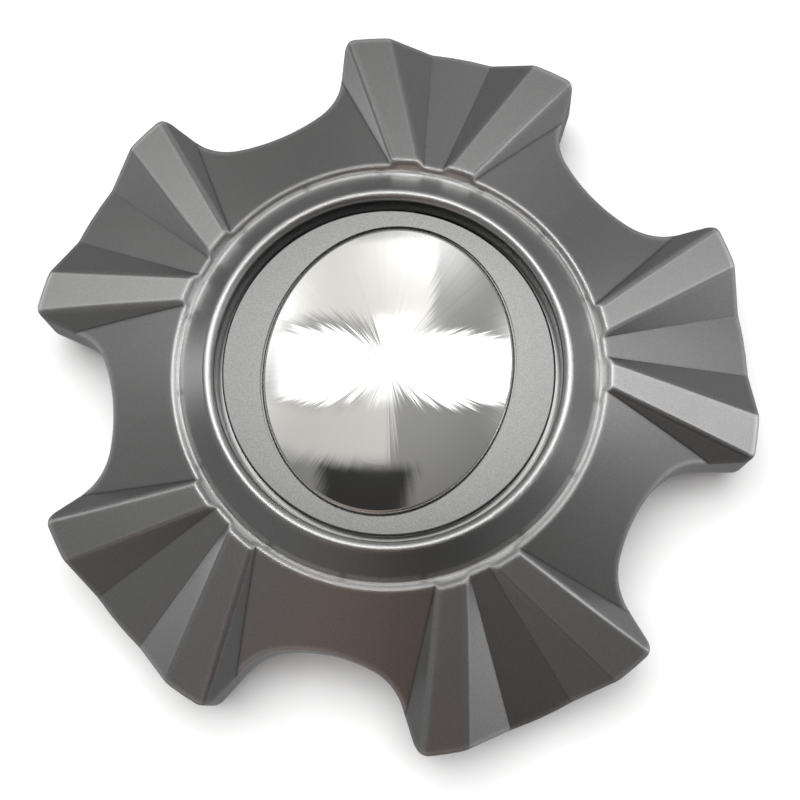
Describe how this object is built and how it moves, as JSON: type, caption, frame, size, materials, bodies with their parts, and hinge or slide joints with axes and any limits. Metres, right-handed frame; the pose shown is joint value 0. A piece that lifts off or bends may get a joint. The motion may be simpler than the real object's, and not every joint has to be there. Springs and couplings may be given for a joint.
{
  "type": "wheel centre cap",
  "caption": "Lobed wheel centre cap with ridged arms, raised collar, satin disc with a chromed oval dome, and snap legs with a spring wire behind.",
  "frame": {"origin": "on the wheel axis, in the plane of the shoulder that the snap legs catch behind", "axes": "+Z out of the wheel along its axis, +Y along one lobe and along the long axis of the oval dome"},
  "size_m": [0.2128, 0.2058, 0.0454],
  "materials": {
    "silver_paint": "metallic silver paint under clear coat",
    "satin_silver": "satin silver",
    "chrome_plating": "bright plating on plastic",
    "spring_steel": "drawn and oiled"
  },
  "bodies": {
    "root": {"cap_body": "silver_paint", "emblem_plate": "satin_silver", "emblem_dome": "chrome_plating", "retaining_wire": "spring_steel"}
  },
  "joints": []
}
